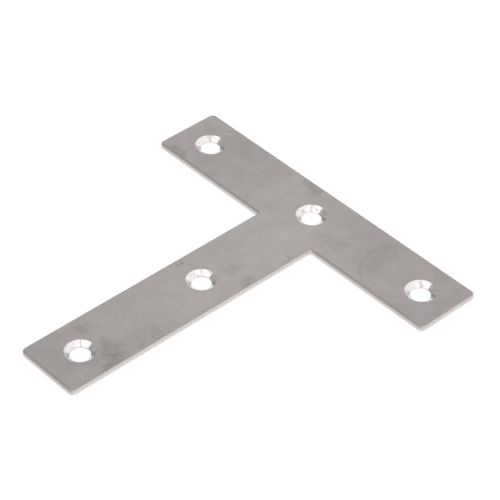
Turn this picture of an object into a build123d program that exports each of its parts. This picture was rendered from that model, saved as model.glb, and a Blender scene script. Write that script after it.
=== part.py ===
"""Flat T-shaped joining plate, stamped from stainless sheet, with five countersunk holes.

Units are millimetres and +Z is up. The plate lies on its underside at Z = 0. The origin
is on the axis of the hole where the two arms meet. The crossbar runs along X and the
stem points towards -Y.
"""

import os

from build123d import *

os.makedirs("parts", exist_ok=True)

# Sheet and outline
sheet_thickness = 1.5
arm_width = 20.0
crossbar_length = 100.0
overall_length = 100.0  # from the crossbar's back edge to the stem's end
stem_length = overall_length - arm_width
outer_corner_radius = 1.5
inner_corner_radius = 0.6

# Long edges: the punch rolls the upper edge over, and the lower one is only deburred
upper_edge_radius = 0.5
lower_edge_radius = 0.15

# Screw holes for flat-head screws of about 5 mm. Each cone ends in a short round wall.
crossbar_hole_distance = 40.0  # from the hole where the arms meet
stem_hole_distances = (39.2, 79.2)
hole_radius = 2.65
countersink_radius = 4.15
countersink_angle = 100.0
rim_radius = 0.12
hole_centres = [(-crossbar_hole_distance, 0), (0, 0), (crossbar_hole_distance, 0)]
hole_centres += [(0, -distance) for distance in stem_hole_distances]

with BuildPart() as joining_plate:
    # Two arms of one width make the T
    with BuildSketch() as outline:
        Rectangle(crossbar_length, arm_width)
        middle_of_front_edge = (0, -arm_width / 2)
        with Locations(middle_of_front_edge):
            Rectangle(arm_width, stem_length, align=(Align.CENTER, Align.MAX))
        inner_corners = outline.vertices().sort_by_distance(middle_of_front_edge)[:2]
        fillet(inner_corners, radius=inner_corner_radius)
        outer_corners = outline.vertices().sort_by_distance(middle_of_front_edge)[4:]
        fillet(outer_corners, radius=outer_corner_radius)
    extrude(amount=sheet_thickness)

    fillet(joining_plate.faces().sort_by(Axis.Z)[-1].edges(), radius=upper_edge_radius)
    fillet(joining_plate.faces().sort_by(Axis.Z)[0].edges(), radius=lower_edge_radius)

    with Locations([(x, y, sheet_thickness) for x, y in hole_centres]):
        CounterSinkHole(
            radius=hole_radius,
            counter_sink_radius=countersink_radius,
            counter_sink_angle=countersink_angle,
        )

    # The countersinks' rims are not left knife-sharp
    upper_face = joining_plate.faces().sort_by(Axis.Z)[-1]
    rims = [wire.edges() for wire in upper_face.inner_wires()]
    fillet(sum(rims, ShapeList()), radius=rim_radius)

joining_plate.part.label = "joining_plate"
export_step(joining_plate.part, "parts/joining_plate.step")
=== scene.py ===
"""Looks of the T-shaped joining plate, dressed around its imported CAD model."""

import math
import random

import bpy
import mathutils
from mathutils import Matrix, Vector


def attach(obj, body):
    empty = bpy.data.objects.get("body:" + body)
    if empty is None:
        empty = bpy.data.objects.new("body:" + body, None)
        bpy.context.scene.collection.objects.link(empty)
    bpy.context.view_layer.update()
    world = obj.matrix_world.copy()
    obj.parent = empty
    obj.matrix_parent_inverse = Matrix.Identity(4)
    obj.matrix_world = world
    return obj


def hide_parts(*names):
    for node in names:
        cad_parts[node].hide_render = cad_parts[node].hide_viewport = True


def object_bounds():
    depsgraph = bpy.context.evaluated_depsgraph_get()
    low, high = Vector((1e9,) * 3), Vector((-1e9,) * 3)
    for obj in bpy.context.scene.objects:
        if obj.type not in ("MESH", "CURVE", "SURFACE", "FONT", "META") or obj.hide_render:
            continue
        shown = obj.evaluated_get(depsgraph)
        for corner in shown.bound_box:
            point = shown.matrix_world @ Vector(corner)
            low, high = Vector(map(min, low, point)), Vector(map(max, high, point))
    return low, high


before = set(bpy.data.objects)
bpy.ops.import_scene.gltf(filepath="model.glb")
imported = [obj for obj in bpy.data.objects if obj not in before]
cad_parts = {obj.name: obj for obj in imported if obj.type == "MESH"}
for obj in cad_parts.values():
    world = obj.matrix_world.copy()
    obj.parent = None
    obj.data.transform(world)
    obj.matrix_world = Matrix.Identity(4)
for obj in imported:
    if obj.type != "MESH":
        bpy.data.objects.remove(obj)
cad_low, cad_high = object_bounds()
MM = 0.001
top = cad_high.z


# ---------------------------------------------------------------- camera
def look_from(azimuth, elevation):
    """Unit vector from the object towards a viewer; azimuth 0 stands at -Y, 90 at +X."""
    a, e = math.radians(azimuth), math.radians(elevation)
    return Vector((math.sin(a) * math.cos(e), -math.cos(a) * math.cos(e), math.sin(e)))


def aimed(azimuth, elevation, roll):
    """Rotation of a camera that looks back along look_from's vector."""
    turn = Matrix.Rotation(math.radians(azimuth), 4, "Z")
    tip = Matrix.Rotation(math.radians(90 - elevation), 4, "X")
    return turn @ tip @ Matrix.Rotation(math.radians(roll), 4, "Z")


CAMERA_AZIMUTH, CAMERA_ELEVATION, CAMERA_ROLL = 45.87, 40.763, 1.965
CAMERA_DISTANCE, CAMERA_LENS = 562.21 * MM, 155.97
aim = Vector((-0.314 * MM, -22.003 * MM, top))
camera = bpy.data.objects.new("camera", bpy.data.cameras.new("camera"))
camera.data.lens = CAMERA_LENS
camera.data.clip_start = 0.01
camera.data.clip_end = 20
camera.matrix_world = Matrix.Translation(
    aim + CAMERA_DISTANCE * look_from(CAMERA_AZIMUTH, CAMERA_ELEVATION)
) @ aimed(CAMERA_AZIMUTH, CAMERA_ELEVATION, CAMERA_ROLL)
bpy.context.scene.collection.objects.link(camera)
bpy.context.scene.camera = camera


# ---------------------------------------------------------------- node helper
class Graph:
    """Builds a node tree; inputs take sockets or plain values."""

    def __init__(self, owner):
        owner.use_nodes = True
        self.tree = owner.node_tree
        self.tree.nodes.clear()

    def node(self, kind, *values, **settings):
        made = self.tree.nodes.new("ShaderNode" + kind)
        for name, value in settings.items():
            setattr(made, name, value)
        for socket, value in zip(made.inputs, values):
            self.put(socket, value)
        return made

    def put(self, socket, value):
        """Links a socket's value, sets a plain one, and leaves the default for None."""
        if isinstance(value, bpy.types.NodeSocket):
            self.tree.links.new(value, socket)
        elif value is not None:
            socket.default_value = value

    def math(self, operation, *values):
        return self.node("Math", *values, operation=operation).outputs[0]

    def ramp(self, value, start, end, low=0.0, high=1.0):
        """Eases from low to high while value goes from start to end."""
        return self.node(
            "MapRange", value, start, end, low, high, interpolation_type="SMOOTHSTEP"
        ).outputs[0]

    def product(self, first, *others):
        for other in others:
            first = self.math("MULTIPLY", first, other)
        return first

    def blend(self, factor, a, b):
        made = self.node("Mix", data_type="FLOAT")
        for socket, value in zip((made.inputs[0], made.inputs[2], made.inputs[3]), (factor, a, b)):
            self.put(socket, value)
        return made.outputs[0]


# ---------------------------------------------------------------- studio
# One plain sky: a large diffuser to the right of the camera, a smaller and higher one to
# the left, a pale backdrop low behind the plate, and a grey room between them. Directions
# are in degrees to the right or left of the camera and above the floor, and each region
# fades in and out between two of them.
ROOM, ROOM_LOW_LEFT, ROOM_HIGH_LEFT, BACKDROP = 0.74, 0.66, 0.5, 1.1
LEFT_BOX, RIGHT_BOX_NEAR, RIGHT_BOX_FAR, BEHIND_PHOTO = 2.0, 2.0, 1.62, 1.0

world = bpy.data.worlds.new("studio")
bpy.context.scene.world = world
g = Graph(world)
direction = g.node("TexCoord").outputs["Generated"]
turned = g.node("VectorRotate", direction, rotation_type="Z_AXIS")
turned.inputs["Angle"].default_value = -math.radians(CAMERA_AZIMUTH)
x, y, z = g.node("SeparateXYZ", turned.outputs[0]).outputs
right_of = g.math("DEGREES", g.math("ARCTAN2", x, g.math("MULTIPLY", y, -1.0)))
above = g.math("DEGREES", g.math("ARCSINE", z))
left_of = g.math("MULTIPLY", right_of, -1.0)
off_to_a_side = g.math("ABSOLUTE", right_of)

left_back = g.product(g.ramp(left_of, 80, 96), g.ramp(left_of, 178, 165))
low_left = g.product(left_back, g.ramp(above, 44, 30))
high_left = g.product(left_back, g.ramp(above, 42, 50), g.ramp(above, 72, 62))
backdrop = g.product(g.ramp(off_to_a_side, 138, 156), g.ramp(above, 34, 20))
right_box_top = g.ramp(right_of, 70, 135, 64, 40)
right_box = g.product(
    g.ramp(right_of, 2.5, 5.0),
    g.ramp(right_of, 150, 138),
    g.ramp(g.math("SUBTRACT", right_box_top, above), -2, 4),
)
left_box = g.product(
    g.ramp(left_of, 2.5, 5.0),
    g.ramp(left_of, 88, 80),
    g.ramp(above, 33, 40),
    g.ramp(above, 70, 62),
)
sky = g.blend(low_left, ROOM, ROOM_LOW_LEFT)
sky = g.blend(high_left, sky, ROOM_HIGH_LEFT)
sky = g.blend(backdrop, sky, BACKDROP)
sky = g.blend(right_box, sky, g.ramp(right_of, 30, 75, RIGHT_BOX_NEAR, RIGHT_BOX_FAR))
sky = g.blend(left_box, sky, LEFT_BOX)
sky = g.blend(g.node("LightPath").outputs["Is Camera Ray"], sky, BEHIND_PHOTO)
background = g.node("Background", None, sky)
g.tree.links.new(background.outputs[0], g.node("OutputWorld").inputs["Surface"])

# ---------------------------------------------------------------- floor
# White paper: its own glow keeps it white to the camera and in reflections, and its matt
# surface takes the plate's shadow.
PAPER_SIZE, PAPER_GAP = 3.0, 0.02 * MM
PAPER_GREY, PAPER_GLOW = 0.35, 0.75

bpy.ops.mesh.primitive_plane_add(size=PAPER_SIZE)
floor = bpy.context.object
floor.name = "floor"
floor.location.z = -PAPER_GAP
paper = bpy.data.materials.new("white_paper")
g = Graph(paper)
path = g.node("LightPath")
seen = g.math("MAXIMUM", path.outputs["Is Camera Ray"], path.outputs["Is Glossy Ray"])
seen = g.math("MAXIMUM", seen, path.outputs["Is Transmission Ray"])
matt = g.node("BsdfDiffuse", (PAPER_GREY, PAPER_GREY, PAPER_GREY, 1))
glow = g.node("Emission", None, g.math("MULTIPLY", seen, PAPER_GLOW))
both = g.node("AddShader", matt.outputs[0], glow.outputs[0])
g.tree.links.new(both.outputs[0], g.node("OutputMaterial").inputs["Surface"])
floor.data.materials.append(paper)

# ---------------------------------------------------------------- plate
# Sizes in millimetres, as in the part's source, apart from the sharper rims and each
# hole's own countersink radius.
SHEET, ARM, ACROSS, LENGTH = 1.5, 20.0, 100.0, 100.0
OUTER_CORNER, INNER_CORNER = 1.5, 0.6
ROLL, DEBURR = 0.5, 0.15
HOLES = [(-40, 0), (0, 0), (40, 0), (0, -39.2), (0, -79.2)]
SINKS = [4.2, 4.27, 4.2, 4.07, 4.07]
HOLE, SINK_SLOPE, RIM = 2.65, math.radians(40), 0.05
# Material slots of the mesh
FACE, WALL, CONE, BACK, EDGE = range(5)
# How finely the mesh follows the form
CORNER_STEPS, SIDE_STEP = 14, 0.6
DEBURR_STEPS, ROLL_STEPS, RIM_STEPS, CONE_STEPS, ROUND_STEPS = 4, 16, 5, 30, 144
FACE_STEP, BACK_STEP = 1.2, 2.4
# The cutter's marks on the cones: fine rings, and a chatter of so many waves a turn
RING_DEPTH = 0.004
SLOW_CHATTER, SLOW_DEPTH = (2, 3, 5, 8, 13), (0.002, 0.01)
FAST_CHATTER, FAST_DEPTH = (21, 29), (0.002, 0.004)
# Knocks and scratches in the face: x, y, half length, half width, turn in degrees, depth
DENTS = [
    (-40.2, 7.6, 0.6, 0.32, 55, 0.18),
    (8.6, -16.6, 0.45, 0.25, 20, 0.05),
    (-8.5, -39.1, 0.9, 0.18, 75, 0.05),
    (-8.4, -33.0, 0.7, 0.16, 95, 0.04),
    (44.8, 5.6, 1.1, 0.16, 115, 0.05),
    (-46.0, -2.4, 0.5, 0.15, 10, 0.04),
]
luck = random.Random(5)

vertices, faces, face_kinds = [], [], []


def add_ring(points):
    start = len(vertices)
    vertices.extend(points)
    return range(start, len(vertices))


def join(rings, kinds):
    """Closed bands of quads between each ring and the next."""
    for lower, upper, kind in zip(rings, rings[1:], kinds):
        for i in range(len(lower)):
            j = (i + 1) % len(lower)
            faces.append((lower[i], lower[j], upper[j], upper[i]))
            face_kinds.append(kind)


def outline():
    """Points round the T, anticlockwise, each with its outward direction."""
    half, front, end = ACROSS / 2, -ARM / 2, ARM / 2 - LENGTH
    corners = [
        (-half, front, OUTER_CORNER),
        (-ARM / 2, front, INNER_CORNER),
        (-ARM / 2, end, OUTER_CORNER),
        (ARM / 2, end, OUTER_CORNER),
        (ARM / 2, front, INNER_CORNER),
        (half, front, OUTER_CORNER),
        (half, ARM / 2, OUTER_CORNER),
        (-half, ARM / 2, OUTER_CORNER),
    ]
    points = []
    for i, (x, y, radius) in enumerate(corners):
        here, (next_x, next_y, next_radius) = Vector((x, y)), corners[(i + 1) % 8]
        following = Vector((next_x, next_y))
        arriving = (here - Vector(corners[i - 1][:2])).normalized()
        leaving = (following - here).normalized()
        turn = 1 if arriving.cross(leaving) > 0 else -1
        centre = here + (leaving - arriving) * radius
        for k in range(CORNER_STEPS + 1):
            angle = math.pi / 2 * k / CORNER_STEPS
            out = arriving * math.sin(angle) - leaving * math.cos(angle)
            points.append((centre + out * radius, out * turn))
        first, last = here + leaving * radius, following - leaving * next_radius
        count = round((last - first).length / SIDE_STEP)
        side = Vector((leaving.y, -leaving.x))
        points += [(first.lerp(last, k / count), side) for k in range(1, count)]
    return points


def inside(point, loop):
    """Even-odd test of a point against a closed loop of vertices."""
    crossings = 0
    for a, b in zip(loop, list(loop[1:]) + [loop[0]]):
        (ax, ay, _), (bx, by, _) = vertices[a], vertices[b]
        if (ay > point.y) != (by > point.y):
            crossings += point.x < ax + (point.y - ay) / (by - ay) * (bx - ax)
    return crossings % 2 == 1


def fill(border, rims, height, spacing, kind):
    """Covers the flat side between the outline and the hole rims with even triangles."""
    loops = [list(border)] + [list(rim) for rim in rims]
    source, owner, edges = [], [], []
    for number, loop in enumerate(loops):
        start = len(source)
        edges += [(start + k, start + (k + 1) % len(loop)) for k in range(len(loop))]
        source += loop
        owner += [number] * len(loop)
    flat = [Vector(vertices[i][:2]) for i in source]

    def add_point(x, y, depth=0):
        flat.append(Vector((x, y)))
        source.append(len(vertices))
        owner.append(-len(vertices))
        vertices.append((x, y, height - depth))

    # An even grid that keeps off the border, the holes and the dents
    border_gap, row_height = ROLL + spacing, spacing * math.sqrt(3) / 2
    for row in range(int(LENGTH / row_height) + 1):
        for column in range(int(ACROSS / spacing) + 1):
            x = (column + row % 2 / 2) * spacing - ACROSS / 2
            y = ARM / 2 - row * row_height
            in_bar = abs(x) < ACROSS / 2 - border_gap and abs(y) < ARM / 2 - border_gap
            in_stem = abs(x) < ARM / 2 - border_gap and ARM / 2 - LENGTH + border_gap < y < 0
            clear = all(math.hypot(x - hx, y - hy) > max(SINKS) + spacing for hx, hy in HOLES)
            clear = clear and all(math.hypot(x - d[0], y - d[1]) > d[2] * 1.3 for d in DENTS)
            if (in_bar or in_stem) and clear:
                add_point(x, y)
    # Each dent is three ovals, one inside the other, each deeper than the last
    for x, y, long, wide, turn, depth in DENTS if kind == FACE else []:
        for share, count in ((1, 14), (0.6, 10), (0.25, 6)):
            for k in range(count):
                angle = 2 * math.pi * k / count
                spoke = Vector((long * math.cos(angle), wide * math.sin(angle))) * share
                spoke.rotate(Matrix.Rotation(math.radians(turn), 2))
                add_point(x + spoke.x, y + spoke.y, depth * (1 - share))
    triangulated = mathutils.geometry.delaunay_2d_cdt(flat, edges, [], 0, 1e-6)
    placed, _, triangles, origins = triangulated[:4]
    for triangle in triangles:
        # Leaves out what lies in a hole, or in the T's two empty corners
        owners = {owner[origins[n][0]] for n in triangle}
        middle = sum((placed[n] for n in triangle), Vector((0, 0))) / 3
        if len(owners) == 1 and (owners != {0} or not inside(middle, loops[0])):
            continue
        corners = [source[origins[n][0]] for n in triangle]
        a, b, c = (placed[n] for n in triangle)
        upward = (b - a).cross(c - a) > 0
        faces.append(corners if upward == (kind == FACE) else corners[::-1])
        face_kinds.append(kind)


# The edge's profile from below: inset from the outline, height, and the slot above it
QUARTER = math.pi / 2
profile = [(DEBURR * 2, 0.0, BACK)]
for k in range(DEBURR_STEPS + 1):
    angle = QUARTER * k / DEBURR_STEPS
    profile.append((DEBURR * (1 - math.sin(angle)), DEBURR * (1 - math.cos(angle)), WALL))
for share in (0.25, 0.5):
    profile.append((0, DEBURR + (SHEET - ROLL - DEBURR) * share, WALL))
profile.append((0, SHEET - ROLL - 0.2, EDGE))
for k in range(ROLL_STEPS):
    angle = QUARTER * k / ROLL_STEPS
    height = SHEET - ROLL + ROLL * math.sin(angle)
    profile.append((ROLL * (1 - math.cos(angle)), height, EDGE))
profile += [(ROLL, SHEET, FACE), (ROLL + 0.15, SHEET, FACE)]
edge = outline()
rings = [
    add_ring([(p.x - out.x * inset, p.y - out.y * inset, height) for p, out in edge])
    for inset, height, _ in profile
]
join(rings, [kind for _, _, kind in profile])
border_below, border_above = rings[0], rings[-1]

rims_above, rims_below = [], []
for (hx, hy), sink in zip(HOLES, SINKS):
    # The hole's profile from above: radius, height, share of chatter, and the slot below it
    rim_centre = sink + RIM * math.tan(SINK_SLOPE / 2)
    steps = [(rim_centre + 0.15, SHEET, 0, FACE)]
    for k in range(RIM_STEPS + 1):
        angle = SINK_SLOPE * k / RIM_STEPS
        away, down = RIM * math.sin(angle), RIM * (1 - math.cos(angle))
        steps.append((rim_centre - away, SHEET - down, 0, CONE if k == RIM_STEPS else FACE))
    slope_start = steps[-1][0]
    for k in range(1, CONE_STEPS + 1):
        radius = slope_start + (HOLE - slope_start) * k / CONE_STEPS
        ring = luck.uniform(-RING_DEPTH, RING_DEPTH) if k < CONE_STEPS else 0
        height = SHEET - (sink - radius) * math.tan(SINK_SLOPE) + ring
        steps.append((radius, height, min(1, (CONE_STEPS - k) / 6), CONE))
    steps += [(HOLE, 0.1, 0, CONE), (HOLE, 0.03, 0, CONE)]
    steps += [(HOLE + 0.03, 0, 0, BACK), (HOLE + 0.2, 0, 0, BACK)]
    lobes = [(n, luck.uniform(*SLOW_DEPTH), luck.uniform(0, 6.28)) for n in SLOW_CHATTER]
    lobes += [(n, luck.uniform(*FAST_DEPTH), luck.uniform(0, 6.28)) for n in FAST_CHATTER]
    circles = []
    for radius, height, chatter, _ in steps:
        points = []
        for k in range(ROUND_STEPS):
            turn = 2 * math.pi * k / ROUND_STEPS
            wave = sum(size * math.sin(n * turn + shift) for n, size, shift in lobes)
            level = height + chatter * wave * (radius - HOLE) / (sink - HOLE)
            points.append((hx - radius * math.sin(turn), hy + radius * math.cos(turn), level))
        circles.append(add_ring(points))
    join(circles, [kind for *_, kind in steps])
    rims_above.append(circles[0])
    rims_below.append(circles[-1])
fill(border_above, rims_above, SHEET, FACE_STEP, FACE)
fill(border_below, rims_below, 0.0, BACK_STEP, BACK)

mesh = bpy.data.meshes.new("plate")
mesh.from_pydata([(x * MM, y * MM, z * MM) for x, y, z in vertices], [], faces)
mesh.polygons.foreach_set("material_index", face_kinds)
mesh.polygons.foreach_set("use_smooth", [True] * len(faces))
mesh.validate()
body = bpy.data.objects.new("plate", mesh)
bpy.context.scene.collection.objects.link(body)
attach(body, "root")
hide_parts("joining_plate")

# ---------------------------------------------------------------- steel
STEEL, CUT_STEEL = (0.62, 0.578, 0.566), (0.62, 0.588, 0.59)
# What the brown of a stain adds to the colour, at full strength
OXIDE = (0.0, -0.012, -0.11)
# Water stains and dark spots on the face: x, y, radius in mm, and how much they darken
STAINS = [
    (-45, -9, 2.6, 0.17),
    (-42, -8.8, 1.6, 0.17),
    (-6.5, 7.6, 2.2, 0.17),
    (-9.5, 8.6, 1.8, 0.14),
    (9.5, -4.4, 3.6, 0.08),
    (14, -2.8, 2.6, 0.09),
    (23, -1, 5.0, 0.07),
    (22.5, 5, 4.0, 0.07),
    (27, -5, 5.0, 0.05),
    (33, 0, 7.0, 0.03),
    (2.6, -30.8, 2.6, 0.09),
    (9.0, -31, 2.4, 0.15),
    (8.1, -61.2, 1.4, 0.06),
    (8.4, -66, 1.6, 0.08),
    (5.0, -73.2, 3.0, 0.16),
    (8.4, -75.4, 2.8, 0.20),
    (4.8, -76.4, 1.8, 0.10),
    (1.6, -72.8, 2.0, 0.14),
    (9.0, -78.2, 2.0, 0.12),
    (7.6, -70.8, 2.2, 0.06),
    (-6.3, -74.4, 1.8, 0.12),
    (8.6, -16.6, 0.5, 0.35),
    (-8.6, -39, 0.5, 0.4),
]
# Edges of dried puddles: x, y, radius and width in mm, and how much they darken
DRIED_RIMS = [(8.1, -61.2, 1.3, 0.6, 0.11), (31, 1, 10, 0.8, 0.05)]


class Steel(Graph):
    """A bare steel surface; places are object coordinates in millimetres."""

    def __init__(self, name):
        """Adds the next slot to the plate's mesh, in the order of FACE to EDGE."""
        material = bpy.data.materials.new(name)
        super().__init__(material)
        mesh.materials.append(material)
        self.shader = self.node("BsdfPrincipled")
        self.shader.inputs["Metallic"].default_value = 1
        self.tree.links.new(self.shader.outputs[0], self.node("OutputMaterial").inputs["Surface"])
        where = self.node("TexCoord").outputs["Object"]
        self.place = self.scaled(where, (1000, 1000, 1000))

    def scaled(self, vector, factors):
        return self.node("VectorMath", vector, factors, operation="MULTIPLY").outputs[0]

    def noise(self, scale, detail=2.0, stretch=(1, 1, 1), turn=0.0):
        """Noise from -1 to 1; scale is in waves per millimetre."""
        made = self.node("TexNoise")
        vector = self.place
        if turn:
            spun = self.node("VectorRotate", vector, rotation_type="Z_AXIS")
            spun.inputs["Angle"].default_value = math.radians(turn)
            vector = spun.outputs[0]
        self.put(made.inputs["Vector"], self.scaled(vector, stretch))
        self.put(made.inputs["Scale"], scale)
        self.put(made.inputs["Detail"], detail)
        return self.math("MULTIPLY_ADD", made.outputs["Fac"], 2.0, -1.0)

    def total(self, start, *terms):
        """start plus each (amount, value)."""
        for amount, value in terms:
            start = self.math("MULTIPLY_ADD", value, amount, start)
        return start

    def painted_light_facing_x(self):
        """1 on sides that look towards +X, for painted light: those sides are made lighter, as the
        lamp on that side lights them more.
        """
        normal = self.node("NewGeometry").outputs["Normal"]
        return self.ramp(self.node("SeparateXYZ", normal).outputs[0], 0.62, 0.95)

    def pushed(self, size, scale):
        """Places pushed about by noise, for ragged edges."""
        cloud = self.node("TexNoise")
        self.put(cloud.inputs["Vector"], self.place)
        self.put(cloud.inputs["Scale"], scale)
        self.put(cloud.inputs["Detail"], 3.0)
        centred = self.node(
            "VectorMath", cloud.outputs["Color"], (-0.5, -0.5, -0.5), operation="ADD"
        )
        push = self.scaled(centred.outputs[0], (size, size, 0))
        return self.node("VectorMath", self.place, push, operation="ADD").outputs[0]

    def distance(self, x, y, place=None):
        """Distance in the plane of the plate from (x, y)."""
        flat = self.scaled(self.place if place is None else place, (1, 1, 0))
        return self.node("VectorMath", flat, (x, y, 0), operation="DISTANCE").outputs["Value"]

    def finish(self, tone, roughness, grain, depth, steel=STEEL, brown=0.0):
        """Feeds the shader: tone scales the steel's colour, depth is the grain's, in mm."""
        colour = self.node("VectorMath", steel, None, operation="SCALE")
        self.put(colour.inputs["Scale"], tone)
        oxide = self.node("VectorMath", OXIDE, None, operation="SCALE")
        self.put(oxide.inputs["Scale"], brown)
        colour = self.node("VectorMath", colour.outputs[0], oxide.outputs[0], operation="ADD")
        self.put(self.shader.inputs["Base Color"], colour.outputs[0])
        self.put(self.shader.inputs["Roughness"], roughness)
        bump = self.node("Bump")
        self.put(bump.inputs["Strength"], 1.0)
        self.put(bump.inputs["Distance"], depth * MM)
        self.put(bump.inputs["Height"], grain)
        self.put(self.shader.inputs["Normal"], bump.outputs[0])


# Tumbled face: fine grain, cloudy patches, water stains, faint polishing rings round the holes
g = Steel("stainless_sheet")
grain = g.noise(2.6, 2.0)
streaks = g.noise(1.6, 2.0, (1, 0.16, 1), 46)
middle = g.ramp(g.distance(-3, -32), 10, 58, 1.10, 0.97)
tone = g.total(
    middle,
    (0.10, g.noise(0.045, 2.0)),
    (0.13, g.noise(0.3, 3.0)),
    (0.13, grain),
    (0.05, streaks),
    (-0.05, g.ramp(g.distance(-29, 2), 17, 6)),
    (0.03, g.ramp(g.distance(-10, 1), 10, 4)),
)
ragged = g.pushed(6.0, 0.45)
mottle = g.math("MAXIMUM", g.math("MULTIPLY_ADD", g.noise(1.1, 4.0), 1.3, 0.95), 0.1)
stain = 0.0
for x, y, radius, darker in STAINS:
    spot = g.ramp(g.distance(x, y, ragged), radius * 1.25, radius * 0.4, 0, darker)
    stain = g.math("ADD", spot, stain)
for x, y, radius, width, darker in DRIED_RIMS:
    away = g.distance(x, y, g.pushed(1.2, 0.5))
    off = g.math("ABSOLUTE", g.math("SUBTRACT", away, radius))
    stain = g.math("ADD", g.ramp(off, width, width * 0.2, 0, darker), stain)
tone = g.product(tone, g.math("SUBTRACT", 1.0, g.product(stain, mottle)))
patchy = g.ramp(g.noise(0.13, 2.0), -0.12, 0.3)
loose = g.pushed(1.6, 0.12)
for x, y in HOLES:
    away = g.distance(x, y, loose)
    rings = g.math("SINE", g.math("MULTIPLY", away, 8.2))
    tone = g.total(tone, (0.045, g.product(g.ramp(away, 17, 9), rings, patchy)))
roughness = g.total(0.33, (0.05, g.noise(0.25, 3.0)), (0.25, stain))
brown = g.total(stain, (0.08, g.noise(0.11, 1.0)))
g.finish(tone, roughness, g.noise(3.2, 3.0), 0.0012, brown=brown)

# Punched side: burnished above, torn and duller below, with painted light on the sides that face
# +X
g = Steel("sheared_side")
height = g.node("SeparateXYZ", g.place).outputs[2]
torn = g.ramp(g.total(height, (0.10, g.noise(0.8, 3.0))), 0.62, 0.42)
# painted light: the sides facing +X are lightened
tone = g.total(1.12, (0.05, g.noise(1.5, 3.0)), (-0.12, torn), (0.09, g.painted_light_facing_x()))
g.finish(tone, g.total(0.24, (0.14, torn)), g.noise(2.2, 2.0, (1, 1, 0.2)), 0.002)

# Turned cone: shiny, with dull smears
g = Steel("turned_cone")
smear = g.ramp(g.noise(0.8, 3.0), 0.08, 0.4)
tone = g.total(1.10, (0.26, g.noise(1.4, 4.0)), (-0.22, smear))
g.finish(tone, g.total(0.17, (0.14, smear)), g.noise(4.0, 2.0), 0.001, CUT_STEEL)

# Underside: like the face, without its stains
g = Steel("underside")
tone = g.total(0.97, (0.10, g.noise(0.06, 2.0)), (0.07, g.noise(0.4, 3.0)), (0.05, g.noise(2.6)))
g.finish(tone, g.total(0.36, (0.06, g.noise(0.3, 3.0))), g.noise(3.2, 3.0), 0.0015)

# Edge rolled over by the punch: stretched and matt, its colour darkened as painted shade, and
# lighter on the sides that face +X as painted light
g = Steel("rolled_edge_painted_shade_and_light")
# painted shade: the low tone darkens the whole rounding; painted light: the sides facing +X are
# lightened
tone = g.total(0.80, (0.08, g.noise(1.2, 3.0)), (0.13, g.painted_light_facing_x()))
g.finish(tone, 0.40, g.noise(3.2, 3.0), 0.002)

# ---------------------------------------------------------------- finish

bpy.context.scene.view_settings.view_transform = "Standard"
